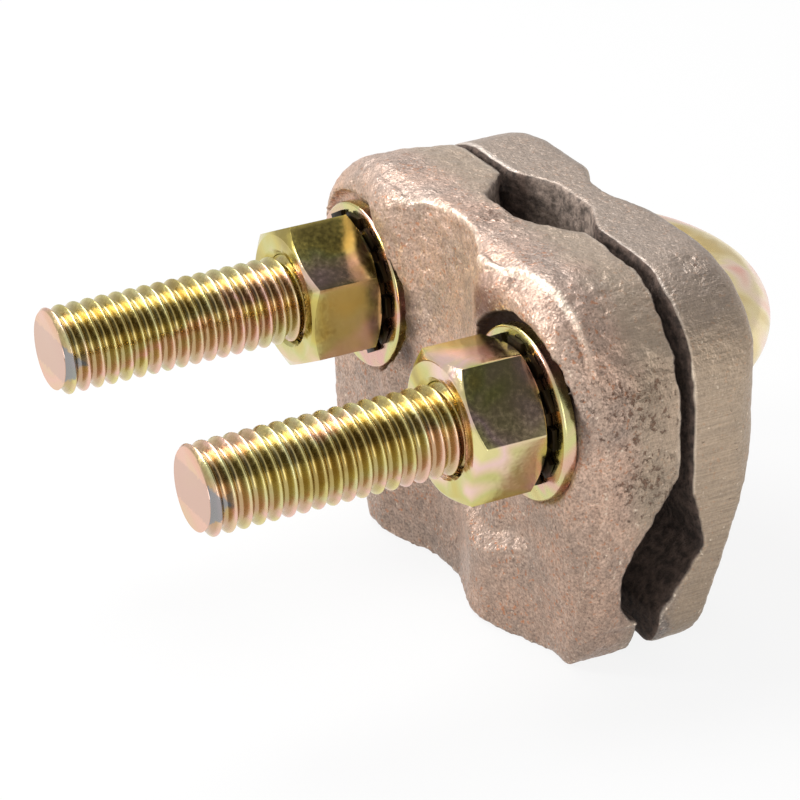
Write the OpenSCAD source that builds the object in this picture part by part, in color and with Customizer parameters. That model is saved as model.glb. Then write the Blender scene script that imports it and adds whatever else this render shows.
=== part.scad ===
// Ground rod connector: two bronze castings on a U-bolt, drawn up by two hex nuts.
// Working frame: X across the legs, Y from the leg tips to the bend, Z up.
// Its zero is midway between the leg axes, on the middle of the gap between the castings.

/* [U-bolt] */
// Distance between the two leg axes
leg_spacing = 34.9; // [34:0.1:40]
// Diameter of the bent rod
rod_d = 9.3; // [8:0.1:10]
// Length of each leg, from the bend to its tip
leg_length = 49.9; // [46:0.1:70]
// Distance of the bend behind the gap between the castings
bend_set = 1.2; // [0:0.1:6]
// Length of the plain shank between the bend and the thread
shank_length = 12.6; // [8:0.1:13]
// Pitch of the thread
thread_pitch = 1.5875; // [1.25:0.0125:2]
// Depth of the thread
thread_depth = 0.8; // [0.4:0.05:0.9]
// Width of the thread's crest
thread_crest = 0.25; // [0.1:0.05:0.4]
// Chamfer at the leg tips
tip_chamfer = 0.3; // [0.2:0.1:0.8]

/* [Castings] */
// Width across both castings
body_w = 55; // [53:0.5:64]
// Height of the castings above the leg axes
top_h = 13; // [12.5:0.5:18]
// Depth of the castings below the leg axes
bottom_h = 26.5; // [25.5:0.5:32]
// Radius of the two upper corners, seen from the front
top_corner_r = 12; // [8:0.5:14]
// Radius of the two lower corners, seen from the front
bottom_corner_r = 5; // [3:0.5:8]
// Gap between the two castings
gap = 1.3; // [0.8:0.1:2.5]
// Room all round a leg in its hole
leg_clearance = 0.8; // [0.4:0.1:1.2]

/* [Front clamp] */
// Thickness of the front clamp at the leg axes
clamp_t = 12.2; // [11.6:0.1:16]
// Lean of its front face, in degrees
front_lean = 2; // [0:0.5:5]
// Rounding of its front edges at the top and the sides
front_edge_r = 3.5; // [2:0.5:5]
// Rounding of its front edge at the bottom
bottom_edge_r = 1.2; // [0.8:0.1:3]
// Amount by which its sides swell in front of the gap
side_draft = 0.7; // [0:0.1:1.5]
// Distance of the widest place in front of the gap
draft_run = 6; // [4:0.5:7]
// Metal between the washer seats and the gap
seat_t = 11.2; // [10:0.1:11.4]
// Room all round a flat washer in its pocket
pocket_clearance = 0.75; // [0.6:0.05:1.4]
// Distance of each rib from the middle
rib_x = 11.2; // [10:0.1:12]
// Width of a rib at its foot
rib_w = 6.4; // [5:0.1:8]
// Width of a rib along its crest
crest_w = 2.4; // [1.5:0.1:3]
// Height of the ribs above the front face
rib_proud = 0.9; // [0.5:0.1:2]
// Height of the lower swelling above the front face at the leg axes
swell_proud = 2.1; // [1:0.1:4]
// Width of the lower swelling
swell_w = 44; // [38:1:48]
// Depth of the swelling's ledge below the leg axes
ledge_depth = 18; // [16:0.5:20]
// Height over which the ledge slopes back
ledge_slope = 4; // [2:0.5:5]
// Width of the flat valley in the middle of the swelling
valley_w = 6; // [3:0.5:8]
// Depth of that valley
valley_depth = 2.6; // [1:0.1:3]

/* [Rear saddle] */
// Thickness of the saddle at the leg axes
saddle_t = 8.9; // [8:0.1:10]
// Thickness of the saddle at its round toe
toe_t = 4.8; // [4.4:0.1:5.4]
// Depth of metal ground off under the toe
toe_flat = 0.4; // [0.3:0.05:0.8]
// Depth below the leg axes at which the back starts to taper
taper_start = 3; // [0:0.5:8]
// Rounding of its side edges at the back
back_edge_r = 4.4; // [3:0.1:5]
// Rounding of its upper corners at the back
corner_edge_r = 3; // [1:0.1:4.4]
// Rounding of its top edge at the back
crown_r = 2.6; // [2:0.1:5]
// Radius of the groove for the ground rod
rod_groove_r = 10.5; // [9:0.5:12]
// Depth of the groove for the ground rod
rod_groove_depth = 3.2; // [1.5:0.1:3.4]

/* [Cable channels] */
// Width of the vertical channel at the gap
channel_w = 17.6; // [14:0.1:19]
// Width of its floor
channel_floor_w = 7; // [4:0.1:9]
// Depth of the vertical channel in the front clamp
channel_front_depth = 4.7; // [3:0.1:5.5]
// Depth of the vertical channel in the rear saddle
channel_rear_depth = 2.3; // [1:0.1:3]
// Depth below the leg axes at which the cross channel starts
cross_start = 6.5; // [6:0.1:7.5]
// Depth of the cross channel in the front clamp
cross_front_depth = 6.8; // [6:0.1:7.2]
// Depth of the cross channel in the rear saddle
cross_rear_depth = 1.4; // [0.8:0.1:2]
// Radius of its front belly
front_belly_r = 3.2; // [2.6:0.1:3.4]
// Depth of the front belly below the leg axes
front_belly_z = 18.2; // [17.5:0.1:19]
// Height of the straight wall above the front belly
belly_rise = 2; // [0.5:0.1:3]
// Radius of its rear belly
rear_belly_r = 2.6; // [2:0.1:3]
// Depth of the rear belly below the leg axes
rear_belly_z = 14.2; // [13.5:0.1:15]
// Width of the slot between the two lips
slot_w = 2.4; // [2:0.1:3]
// Distance of the slot's middle behind the front belly
slot_set = 0.15; // [0:0.05:0.5]

/* [Nuts] */
// Width of a nut across its flats
nut_af = 14.3; // [13:0.1:16]
// Height of a nut
nut_h = 8.2; // [6:0.1:9]
// Diameter of a nut's end faces, as a share of its width across flats
nut_face = 0.96; // [0.9:0.01:0.98]
// Chamfer angle at the corners of a nut
nut_chamfer_angle = 30; // [15:1:35]
// Countersink at both ends of a nut's bore
nut_countersink = 0.6; // [0.3:0.1:1]
// Room all round a leg in a nut
thread_clearance = 0.05; // [0.02:0.01:0.09]
// Room between a nut and its lock washer
nut_clearance = 0.05; // [0.02:0.01:0.2]
// Turn of the left nut
left_turn_angle = 33.7; // [0:0.1:60]
// Turn of the right nut
right_turn_angle = 52.5; // [0:0.1:60]

/* [Washers] */
// Outer diameter of a flat washer
flat_od = 18.1; // [17.4:0.1:19.4]
// Thickness of a flat washer
flat_t = 1.4; // [1:0.1:2]
// Room all round a leg in a flat washer
flat_clearance = 0.55; // [0.3:0.05:0.7]
// Room left above a leg by a flat washer that hangs on it
hang_clearance = 0.1; // [0.05:0.05:0.25]
// Outer diameter of a lock washer over its teeth
tooth_od = 15.4; // [14.6:0.1:17]
// Outer diameter of a lock washer's ring
ring_od = 13.4; // [12.6:0.1:14.4]
// Thickness of a lock washer
ring_t = 0.5; // [0.4:0.05:0.8]
// Number of teeth
teeth = 12; // [8:1:14]
// Width of a tooth
tooth_w = 2.3; // [1.6:0.1:2.5]
// Twist of each tooth
tooth_twist = 4; // [2:1:14]
// Room all round a leg in a lock washer
ring_clearance = 0.3; // [0.1:0.1:0.6]

/* [Hidden] */

$fn = 64;
bronze = "#a88d7a";
yellow_zinc = "#b7a457";
past = body_w / 55;

// Legs and bend
leg_x = leg_spacing / 2;
tip_y = bend_set - leg_length;
ridges = floor((leg_length - shank_length - tip_chamfer) / thread_pitch);
bend_back = bend_set + leg_x + rod_d / 2;
middle_y = (tip_y + bend_back) / 2;
leg_hole_d = rod_d + 2 * leg_clearance;

// Stack on each leg, from the casting to the nut
seat_y = -gap / 2 - seat_t;
flat_y = seat_y - flat_t;
tooth_h = tooth_w * sin(tooth_twist) + ring_t * cos(tooth_twist);
tooth_y = flat_y - tooth_h;
nut_y = tooth_y - nut_clearance - nut_h;
nut_corner_d = nut_af / cos(30);
nut_bore_d = rod_d + 2 * thread_clearance;

// Reach of the castings
swell_y = -gap / 2 - clamp_t - swell_proud;
widest_y = -gap / 2 - draft_run;
saddle_back = gap / 2 + saddle_t;
reach = body_w + leg_length;

// Cross channel, as points of Y and Z
belly_front = [-gap / 2 - cross_front_depth + front_belly_r, -front_belly_z];
belly_upper = belly_front + [0, belly_rise];
belly_rear = [gap / 2 + cross_rear_depth - rear_belly_r, -rear_belly_z];
front_start = [-gap / 2, -cross_start];
rear_start = [gap / 2, -cross_start - gap];
slot_y = belly_front[0] - slot_w / 2 + slot_set;
slot_top = -front_belly_z - front_belly_r;
lip_back = [slot_y + slot_w, slot_top];

// Point where a line from p touches a circle at c, on its left (side 1) or its right (side -1)
function touch(p, c, r, side) =
    let (d = norm(c - p), dir = atan2(c[1] - p[1], c[0] - p[0]) - side * asin(r / d))
    p + sqrt(d * d - r * r) * [cos(dir), sin(dir)];

// Front face of the clamp at a height
function front_y(z) = -gap / 2 - clamp_t - tan(front_lean) * z;

// Sets the working frame down on its lowest face, with its length halved by the zero
module place() {
    translate([0, -middle_y, bottom_h]) children();
}

// Stands a shape drawn upwards along Y, at one leg
module on_leg(side, y) {
    translate([side * leg_x, y, 0]) rotate([-90, 0, 0]) children();
}

// Sweeps a profile of Y and Z across the width
module across(width) {
    rotate([90, 0, 90]) linear_extrude(width, center = true) children();
}

// Both castings' outline from the front, swept back; its upper corners are turned from a given profile
module outline_block() {
    half = body_w / 2;
    corner_x = half - top_corner_r;
    corner_z = top_h - top_corner_r;
    for (side = [-1, 1]) {
        translate([side * corner_x, 0, corner_z]) rotate([-90, 0, 0]) rotate_extrude() children();
        translate([side * (half - bottom_corner_r), -reach, bottom_corner_r - bottom_h])
            rotate([-90, 0, 0]) cylinder(2 * reach, r = bottom_corner_r);
    }
    translate([-corner_x, -reach, 0]) cube([2 * corner_x, 2 * reach, reach]);
    translate([-reach, -reach, bottom_corner_r - bottom_h])
        cube([2 * reach, 2 * reach, bottom_h - bottom_corner_r + corner_z]);
    translate([bottom_corner_r - half, -reach, -bottom_h])
        cube([body_w - 2 * bottom_corner_r, 2 * reach, bottom_h]);
}

// Cross channel: a slanted teardrop that ends between two lips
module cross_channel() {
    translate(belly_front) circle(front_belly_r);
    translate(belly_upper) circle(front_belly_r);
    translate(belly_rear) circle(rear_belly_r);
    polygon([
        front_start,
        touch(front_start, belly_upper, front_belly_r, 1),
        belly_upper - [front_belly_r, 0],
        belly_front - [front_belly_r, 0],
        [slot_y, slot_top],
        lip_back,
        touch(lip_back, belly_rear, rear_belly_r, 1),
        touch(rear_start, belly_rear, rear_belly_r, -1),
        rear_start
    ]);
}

// Everything behind the clamp's parting face, and everything in front of the saddle's
module behind_clamp() {
    polygon([[reach, reach], [-gap / 2, reach], front_start, belly_front,
             [belly_front[0], -reach], [reach, -reach]]);
}

module ahead_of_saddle() {
    polygon([[-reach, reach], [gap / 2, reach], rear_start, belly_rear, belly_front,
             [belly_front[0], -reach], [-reach, -reach]]);
}

// Side profile of the clamp without its grooves, with round front edges
module clamp_side() {
    r = front_edge_r;
    lean = [-cos(front_lean), -sin(front_lean)];
    crown = top_h + side_draft;
    upper = [front_y(crown - r) + r / cos(front_lean), crown - r];
    foot_r = bottom_edge_r;
    lower = [front_y(foot_r - bottom_h) + foot_r / cos(front_lean), foot_r - bottom_h];
    translate(upper) circle(r);
    translate(lower) circle(foot_r);
    polygon([[0, top_h], [-gap / 2, top_h], [widest_y, crown], upper + [0, r], upper + r * lean,
             lower + foot_r * lean, lower - [0, foot_r], [0, -bottom_h]]);
}

// Half the plan of the clamp, out to a half width, with a round front edge
module clamp_half_plan(half, front) {
    r = front_edge_r;
    wide = half + side_draft;
    translate([wide - r, front + r]) circle(r);
    polygon([[0, front], [wide - r, front], [wide, front + r], [wide, widest_y], [half, -gap / 2],
             [half, 0], [0, 0]]);
}

module clamp_plan() {
    clamp_half_plan(body_w / 2, front_y(0));
    mirror([1, 0]) clamp_half_plan(body_w / 2, front_y(0));
}

// The clamp's outline, with corners that follow its plan
module clamp_outline() {
    outline_block() intersection() {
        clamp_half_plan(top_corner_r, front_y(top_h));
        translate([0, -reach]) square(reach);
    }
}

// Sweeps a plan upwards along the leaning front face
module along_front() {
    rotate([front_lean, 0, 0]) linear_extrude(2 * reach, center = true) children();
}

// Upright rib beside each washer pocket
module clamp_ribs() {
    intersection() {
        along_front()
            for (side = [-1, 1])
                translate([side * rib_x, front_y(0)])
                    polygon([[-rib_w / 2, past], [-rib_w / 2, 0], [-crest_w / 2, -rib_proud],
                             [crest_w / 2, -rib_proud], [rib_w / 2, 0], [rib_w / 2, past]]);
        across(2 * body_w) translate([-rib_proud, 0]) clamp_side();
        clamp_outline();
    }
}

// Swelling in front of the cross channel, under a sloping ledge
module clamp_swelling() {
    half = swell_w / 2;
    foot = front_y(-bottom_h) + past;
    crest = crest_w / 2;
    r = bottom_edge_r;
    intersection() {
        linear_extrude(2 * reach, center = true)
            polygon([[-half, foot], [-rib_x - crest, swell_y], [crest - rib_x, swell_y],
                     [-valley_w / 2, swell_y + valley_depth], [valley_w / 2, swell_y + valley_depth],
                     [rib_x - crest, swell_y], [rib_x + crest, swell_y], [half, foot]]);
        across(2 * body_w) {
            translate([swell_y + r, r - bottom_h]) circle(r);
            polygon([[swell_y, r - bottom_h], [swell_y, -ledge_depth],
                     [foot, ledge_slope - ledge_depth], [foot, -bottom_h], [swell_y + r, -bottom_h]]);
        }
        clamp_outline();
    }
}

// Vertical channel, cut to a depth from one parting face and down to a height
module vertical_channel(face_y, depth, foot_z) {
    translate([0, face_y, foot_z])
        linear_extrude(top_h + past - foot_z)
            polygon([[-channel_w / 2, 0], [-channel_floor_w / 2, depth],
                     [channel_floor_w / 2, depth], [channel_w / 2, 0]]);
}

module front_clamp() {
    pocket_d = flat_od + 2 * pocket_clearance;
    color(bronze) place() difference() {
        union() {
            intersection() {
                across(2 * body_w) clamp_side();
                along_front() clamp_plan();
                clamp_outline();
            }
            clamp_ribs();
            clamp_swelling();
        }
        across(2 * body_w) {
            cross_channel();
            translate([slot_y, -reach]) square([slot_w, reach - front_belly_z]);
            behind_clamp();
        }
        vertical_channel(-gap / 2, -channel_front_depth, -bottom_h - past);
        for (side = [-1, 1]) {
            on_leg(side, seat_y - reach) cylinder(reach, d = pocket_d);
            on_leg(side, seat_y - past) cylinder(seat_t + 2 * past, d = leg_hole_d);
        }
    }
}

// Side profile of the saddle without its grooves: a taper to a round toe
module saddle_taper() {
    r = toe_t / 2;
    toe_front = slot_y + slot_w;
    toe = [toe_front + r, r - bottom_h - toe_flat];
    top = [saddle_back, -taper_start];
    foot = touch(top, toe, r, -1);
    intersection() {
        union() {
            translate(toe) circle(r);
            polygon([[toe_front, toe[1]], foot, 3 * top - 2 * foot, [toe_front, reach]]);
        }
        translate([-reach, -bottom_h]) square(2 * reach);
    }
}

// The upright back and top that bound this taper
module saddle_back_side() {
    r = crown_r;
    translate([saddle_back - r, top_h - r]) circle(r);
    translate([-reach, -reach]) square([reach + saddle_back - r, reach + top_h]);
    translate([-reach, -reach]) square([reach + saddle_back, reach + top_h - r]);
}

// Half the plan of the saddle, out to a half width, with a round back edge
module saddle_half_plan(half, r) {
    translate([half - r, saddle_back - r]) circle(r);
    translate([0, -reach]) square([half - r, reach + saddle_back]);
    translate([0, -reach]) square([half, reach + saddle_back - r]);
}

module saddle_plan() {
    saddle_half_plan(body_w / 2, back_edge_r);
    mirror([1, 0]) saddle_half_plan(body_w / 2, back_edge_r);
}

// Half ring of the bend, grown by a clearance
module bend(grow) {
    translate([0, bend_set, 0])
        rotate_extrude(angle = 180) translate([leg_x, 0]) circle(rod_d / 2 + grow);
}

module rear_saddle() {
    color(bronze) place() difference() {
        intersection() {
            across(2 * body_w) saddle_taper();
            across(2 * body_w) saddle_back_side();
            linear_extrude(2 * reach, center = true) saddle_plan();
            outline_block() saddle_half_plan(top_corner_r, corner_edge_r);
        }
        across(2 * body_w) {
            cross_channel();
            ahead_of_saddle();
        }
        vertical_channel(gap / 2, channel_rear_depth, -rear_belly_z);
        translate([-channel_w / 2, gap / 2 - reach, -bottom_h - past])
            cube([channel_w, reach, bottom_h + past - rear_belly_z]);
        translate([0, saddle_back - rod_groove_depth + rod_groove_r, -reach])
            cylinder(2 * reach, r = rod_groove_r);
        for (side = [-1, 1])
            on_leg(side, -reach) cylinder(2 * reach, d = leg_hole_d);
        bend(leg_clearance);
    }
}

// Half section of the grooves between the ridges at the thread pitch
module thread_grooves() {
    half = (thread_pitch - thread_crest) / 2;
    out = thread_crest / 2;
    run = half * out / thread_depth;
    for (i = [0 : ridges - 1])
        translate([rod_d / 2, tip_chamfer + thread_crest + i * thread_pitch])
            polygon([[-thread_depth, half], [out, -run], [out, 2 * half + run]]);
}

module u_bolt() {
    tip_d = rod_d - 2 * tip_chamfer;
    color(yellow_zinc) place() difference() {
        union() {
            bend(0);
            for (side = [-1, 1]) {
                on_leg(side, tip_y + tip_chamfer) cylinder(leg_length - tip_chamfer, d = rod_d);
                on_leg(side, tip_y) cylinder(tip_chamfer, d1 = tip_d, d2 = rod_d);
            }
        }
        for (side = [-1, 1])
            on_leg(side, tip_y) rotate_extrude() thread_grooves();
    }
}

// Hex nut with chamfered corners and a countersunk bore
module hex_nut(side, turn) {
    face_d = nut_face * nut_af;
    wide_d = nut_corner_d + past;
    rise = (wide_d - face_d) / 2 * tan(nut_chamfer_angle);
    mouth_d = nut_bore_d + 2 * nut_countersink;
    color(yellow_zinc) place() on_leg(side, nut_y) difference() {
        intersection() {
            rotate([0, 0, turn]) cylinder(nut_h, d = nut_corner_d, $fn = 6);
            union() {
                cylinder(rise, d1 = face_d, d2 = wide_d);
                translate([0, 0, rise]) cylinder(nut_h - 2 * rise, d = wide_d);
                translate([0, 0, nut_h - rise]) cylinder(rise, d1 = wide_d, d2 = face_d);
            }
        }
        translate([0, 0, -past]) cylinder(nut_h + 2 * past, d = nut_bore_d);
        cylinder(nut_countersink, d1 = mouth_d, d2 = nut_bore_d);
        translate([0, 0, nut_h - nut_countersink]) cylinder(nut_countersink, d1 = nut_bore_d, d2 = mouth_d);
    }
}

module hex_nut_left() { hex_nut(-1, left_turn_angle); }
module hex_nut_right() { hex_nut(1, right_turn_angle); }

// Lock washer: a flat ring whose outer teeth are twisted out of its plane
module tooth_washer(side) {
    ring_id = rod_d + 2 * ring_clearance;
    root = (ring_od + ring_id) / 4;
    color(yellow_zinc) place() on_leg(side, tooth_y + tooth_h / 2) difference() {
        union() {
            cylinder(ring_t, d = ring_od, center = true);
            for (i = [0 : teeth - 1])
                rotate([0, 0, 360 * i / teeth])
                    rotate([tooth_twist, 0, 0])
                        translate([root, -tooth_w / 2, -ring_t / 2])
                            cube([tooth_od / 2 - root, tooth_w, ring_t]);
        }
        cylinder(tooth_h + 2 * past, d = ring_id, center = true);
    }
}

module tooth_washer_left() { tooth_washer(-1); }
module tooth_washer_right() { tooth_washer(1); }

// Flat washer, hanging a little below its leg axis
module flat_washer(side) {
    drop = flat_clearance - hang_clearance;
    color(yellow_zinc) place() translate([0, 0, -drop]) on_leg(side, flat_y) difference() {
        cylinder(flat_t, d = flat_od);
        translate([0, 0, -past]) cylinder(flat_t + 2 * past, d = rod_d + 2 * flat_clearance);
    }
}

module flat_washer_left() { flat_washer(-1); }
module flat_washer_right() { flat_washer(1); }

u_bolt();
front_clamp();
rear_saddle();
hex_nut_left();
hex_nut_right();
tooth_washer_left();
tooth_washer_right();
flat_washer_left();
flat_washer_right();
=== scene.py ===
import math

import bpy
from mathutils import Matrix, Vector


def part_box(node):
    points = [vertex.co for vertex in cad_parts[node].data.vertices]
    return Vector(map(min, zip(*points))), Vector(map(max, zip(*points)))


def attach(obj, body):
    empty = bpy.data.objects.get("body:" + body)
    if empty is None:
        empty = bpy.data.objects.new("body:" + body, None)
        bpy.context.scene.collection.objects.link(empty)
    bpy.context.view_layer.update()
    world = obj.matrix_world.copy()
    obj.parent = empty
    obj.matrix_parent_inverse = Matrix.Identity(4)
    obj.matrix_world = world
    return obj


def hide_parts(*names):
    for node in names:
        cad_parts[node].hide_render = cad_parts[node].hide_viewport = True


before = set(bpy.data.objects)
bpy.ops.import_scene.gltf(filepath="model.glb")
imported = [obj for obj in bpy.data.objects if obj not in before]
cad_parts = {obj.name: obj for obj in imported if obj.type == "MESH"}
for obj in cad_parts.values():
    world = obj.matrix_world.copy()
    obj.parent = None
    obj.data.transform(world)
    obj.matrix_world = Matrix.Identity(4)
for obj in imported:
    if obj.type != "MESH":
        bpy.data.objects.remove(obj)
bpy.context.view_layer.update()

mm = 0.001
legX = 17.45 * mm  # the two leg axes stand at plus and minus this
legZ = 26.5 * mm
tipY = -36 * mm  # sawn faces of the leg tips
gapFront = 12.05 * mm  # parting face of the front casting
gapRear = 13.35 * mm  # parting face of the rear casting
weld = 1e-7  # points closer than this are one point
cadWeld = 1e-6  # the same, on a copy of a CAD solid


def fade(value, start, full):
    # 0 at start and before it, 1 at full and past it
    return min(1.0, max(0.0, (value - start) / (full - start)))


# Material helpers

# settings that many colour mixes share
mixColour = {"data_type": "RGBA"}
multiplyColour = {"data_type": "RGBA", "blend_type": "MULTIPLY", 0: 1.0}


def linearColour(code):
    # sRGB hex to the linear values that shaders take
    channels = [int(code[i:i + 2], 16) / 255 for i in (1, 3, 5)]
    return [c / 12.92 if c <= 0.04045 else ((c + 0.055) / 1.055) ** 2.4 for c in channels] + [1.0]


def perMetre(sizeMm):
    # texture scale whose features are about this many millimetres wide
    return 1000 / sizeMm


def addNode(tree, kind, settings=None, links=None):
    # Lower-case names are the node's own settings, others are its sockets. A node given as a link stands for
    # its first output in use. On a map range, 1 and 2 are the range it reads and 3 and 4 the range it gives;
    # on a colour mix, 0 is the share, 6 the first colour and 7 the second.
    node = tree.nodes.new("ShaderNode" + kind)
    for key, value in (settings or {}).items():
        if isinstance(key, str) and key[0].islower():
            setattr(node, key, value)
        else:
            node.inputs[key].default_value = value
    for key, source in (links or {}).items():
        if isinstance(source, bpy.types.Node):
            source = next(output for output in source.outputs if output.enabled)
        tree.links.new(source, node.inputs[key])
    return node


def newMaterial(name):
    material = bpy.data.materials.new(name)
    material.use_nodes = True
    material.node_tree.nodes.clear()
    return material, material.node_tree


def setStops(ramp, stops):
    # the first two stops are already on a new ramp
    while len(ramp.color_ramp.elements) < len(stops):
        ramp.color_ramp.elements.new(1.0)
    for element, (place, code) in zip(ramp.color_ramp.elements, stops):
        element.position = place
        element.color = linearColour(code)


def offLeg(tree, at):
    # distance from the nearer leg's axis, and height above it
    sideways = addNode(tree, "Math", {"operation": "ABSOLUTE"}, {0: at.outputs["X"]})
    fromLeg = addNode(tree, "Math", {"operation": "SUBTRACT", 1: legX}, {0: sideways})
    aboveLeg = addNode(tree, "Math", {"operation": "SUBTRACT", 1: legZ}, {0: at.outputs["Z"]})
    across = addNode(tree, "CombineXYZ", {}, {0: fromLeg, 1: aboveLeg})
    return addNode(tree, "VectorMath", {"operation": "LENGTH"}, {0: across}), aboveLeg


# Mesh helpers

def pickOnly(obj):
    if bpy.context.object and bpy.context.object.mode != "OBJECT":
        bpy.ops.object.mode_set(mode="OBJECT")
    bpy.ops.object.select_all(action="DESELECT")
    obj.select_set(True)
    bpy.context.view_layer.objects.active = obj


def applyModifier(obj, kind, settings):
    pickOnly(obj)
    modifier = obj.modifiers.new(kind, kind)
    for key, value in settings.items():
        setattr(modifier, key, value)
    bpy.ops.object.modifier_apply(modifier=modifier.name)


def copyNode(node, name):
    # a merged copy of a CAD solid, at the same place
    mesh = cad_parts[node].data.copy()
    mesh.materials.clear()
    obj = bpy.data.objects.new(name, mesh)
    bpy.context.scene.collection.objects.link(obj)
    pickOnly(obj)
    bpy.ops.mesh.customdata_custom_splitnormals_clear()
    bpy.ops.object.mode_set(mode="EDIT")
    bpy.ops.mesh.select_all(action="SELECT")
    bpy.ops.mesh.remove_doubles(threshold=cadWeld)
    bpy.ops.object.mode_set(mode="OBJECT")
    return obj


def lineObject(name, points):
    # an open chain of edges, ready to be turned
    mesh = bpy.data.meshes.new(name)
    mesh.from_pydata(points, [(i, i + 1) for i in range(len(points) - 1)], [])
    obj = bpy.data.objects.new(name, mesh)
    bpy.context.scene.collection.objects.link(obj)
    return obj


def outwards(obj):
    pickOnly(obj)
    bpy.ops.object.mode_set(mode="EDIT")
    bpy.ops.mesh.select_all(action="SELECT")
    bpy.ops.mesh.remove_doubles(threshold=weld)
    bpy.ops.mesh.normals_make_consistent(inside=False)
    bpy.ops.object.mode_set(mode="OBJECT")


def turned(name, profile, steps):
    # turns a profile of (radius, height) round Y
    obj = lineObject(name, [(r, y, 0) for r, y in profile])
    applyModifier(obj, "SCREW", {"axis": "Y", "angle": 2 * math.pi, "steps": steps, "render_steps": steps,
                                 "use_merge_vertices": True, "merge_threshold": weld})
    outwards(obj)
    return obj


def cut(obj, tool, operation):
    applyModifier(obj, "BOOLEAN", {"operation": operation, "object": tool, "solver": "EXACT"})
    bpy.data.objects.remove(tool)


def handOver(obj, material, body, node):
    obj.data.materials.clear()
    obj.data.materials.append(material)
    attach(obj, body)
    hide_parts(node)


# Sand-cast bronze, tumbled: pinkish brown skin with sand grain, rusty and dark specks, pits, and bright
# flecks where edges are rubbed, with painted shade towards the foot. Beside the gap it was linished on a
# belt, so it is smoother there and creamy, with fine lines, and its rim has a painted highlight. The
# channels keep the dark oxide of the casting, with painted light towards the top of the upright one;
# the washer pockets and the casting beside the far washer have painted shade.
bronzeLook = {
    "skinPink": "#cfad97", "skinGrey": "#b59e8e", "rust": "#b8703f", "darkSpeck": "#6a564a", "stain": "#6a4231",
    # the second oxide colour is painted light, for the top of the upright channel
    "fleck": "#f8e6cf", "pit": "#694733", "linished": "#bfab93", "oxide": "#554740", "oxidePaintedLight": "#97867a",
    # the last colour is painted shade, for the washer pockets and beside the far washer
    "parting": "#5d4d44", "upwardTint": "#eff3f9", "pocket": "#35221a",
    # each kind of mark: its size in millimetres, then the detail and roughness of its noise
    "noise": {"blotch": (7, 4.0, 0.6), "clump": (0.95, 3.0, 0.62), "grain": (0.28, 2.0, 0.7),
              "speck": (0.45, 1.0, 0.5), "crowd": (5, 2.0, 0.5), "pit": (0.75, 4.0, 0.6),
              "ragged": (3, 4.0, 0.5), "fleck": (0.5, 2.0, 0.5)},
    # the range of a noise that counts, then the shade at either end of it
    "clumpShade": (0.32, 0.68, 0.82, 1.13), "grainShade": (0.3, 0.7, 0.62, 1.3),
    "lineShade": (0.35, 0.65, 0.76, 1.08), "oxideShade": (0.36, 0.66, 0.4, 1.4),
    # colour of a speck, how a crowd of them counts, and the noise where it starts and where it is full
    "specks": [("rust", "ADD", 0.63, 0.72), ("darkSpeck", "SUBTRACT", 0.35, 0.26)],
    # how much of a mark shows, and the shade of pitted areas and the painted shade at the foot
    "speckAmount": 0.6, "spotAmount": 0.8, "pitAmount": 0.72, "bandAmount": 0.7, "paleAmount": 0.34,
    "fleckAmount": 0.85, "rim": 0.3, "pitCrowd": 0.16, "areaShade": 0.84, "foot": 0.7,
    # the linished band starts and is full this far in front of the parting face, and its ends wander
    "linish": (7.5 * mm, 3.5 * mm), "wander": 2.2 * mm, "lineMm": 0.14, "lineLengthMm": 5,
    # bumps, one over the other: strength, and height in millimetres
    "bumps": {"grain": (0.3, 0.1), "clump": (0.6, 0.4), "speck": (0.4, 0.16), "line": (0.2, 0.05),
              "lump": (0.9, 2), "pit": (0.8, 0.3)},
    "roughness": 0.44, "dullRoughness": 0.85, "metal": 0.6, "dullMetal": 0.2, "pocketRadius": 9.85 * mm,
    # places where gas left the skin pitted, and how far it spread, in millimetres
    "pitted": [((28, 7, 29), 7.5), ((28, 8, 21), 6), ((9.5, -1.5, 12.5), 3), ((2, 6, 40), 4)],
    # where rust ran out of a pocket, and painted shadow beside the far washer
    "stained": [((11.3, -0.8, 35.3), 4.2)],
    "shadowBesideWasher": [((-7.4, -0.2, 28), 2.5), ((-7.2, -0.1, 25.5), 3.2), ((-7.6, -0.1, 22.5), 3)],
}
rearLook = dict(bronzeLook, skinPink="#a89688", skinGrey="#918780", linished="#c6ae93", rim=0.6,
                upwardTint="#e3e7f4", pitted=[((20, 18, 40), 3)], linish=(3 * mm, 1 * mm))


def patches(tree, place, spots, most):
    # soft round spots, each a centre and a spread in millimetres
    area = None
    for centre, spread in spots:
        away = addNode(tree, "VectorMath", {"operation": "DISTANCE", 1: [c * mm for c in centre]}, {0: place})
        inside = addNode(tree, "MapRange", {1: spread * mm, 2: 0.3 * spread * mm, 4: most}, {0: away})
        area = inside if area is None else addNode(tree, "Math", {"operation": "MAXIMUM"}, {0: area, 1: inside})
    return area


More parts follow.
